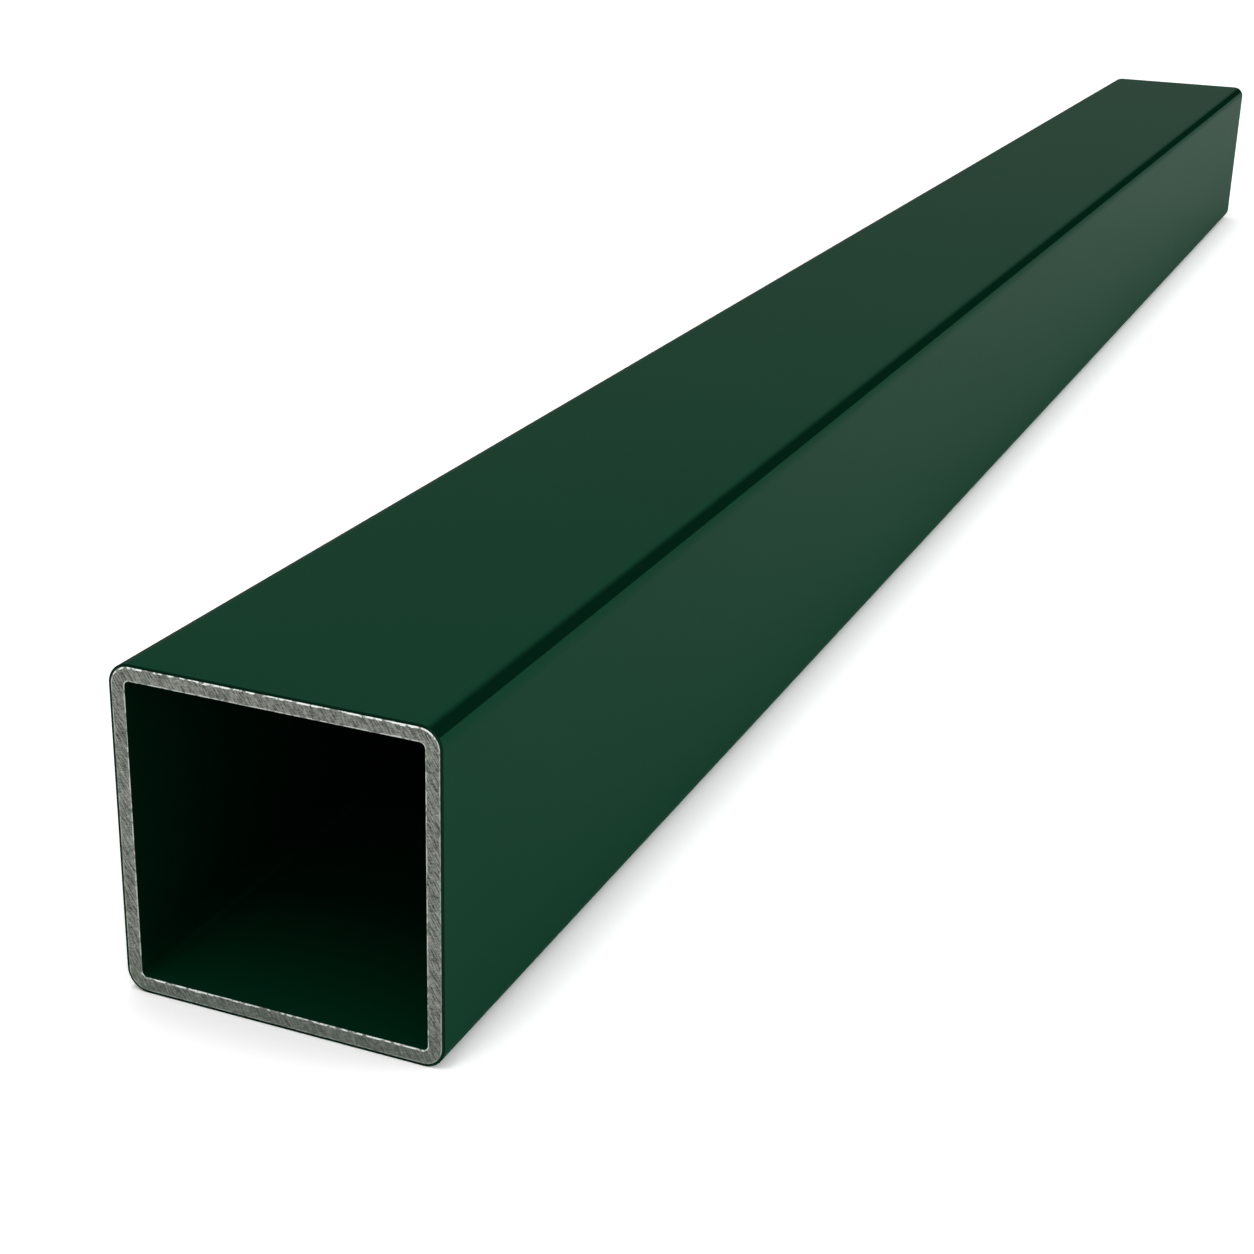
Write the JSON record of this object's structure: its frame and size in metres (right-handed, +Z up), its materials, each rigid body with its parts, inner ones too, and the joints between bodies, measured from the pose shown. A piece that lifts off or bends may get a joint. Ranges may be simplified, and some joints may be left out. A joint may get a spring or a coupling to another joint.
{
  "type": "square post",
  "caption": "Square hollow steel post with rounded corners and a green coat, sawn square and open at both ends, for fence, gate, sign and frame work.",
  "frame": {"origin": "on the floor, under the middle of the post", "axes": "+X along the post, +Y across it, +Z up; the post lies on one flat face"},
  "size_m": [0.8, 0.06, 0.06],
  "materials": {
    "coated_steel": "satin dark green powder coat, bare sawn steel at the two ends"
  },
  "bodies": {
    "root": {"post": "coated_steel"}
  },
  "joints": []
}
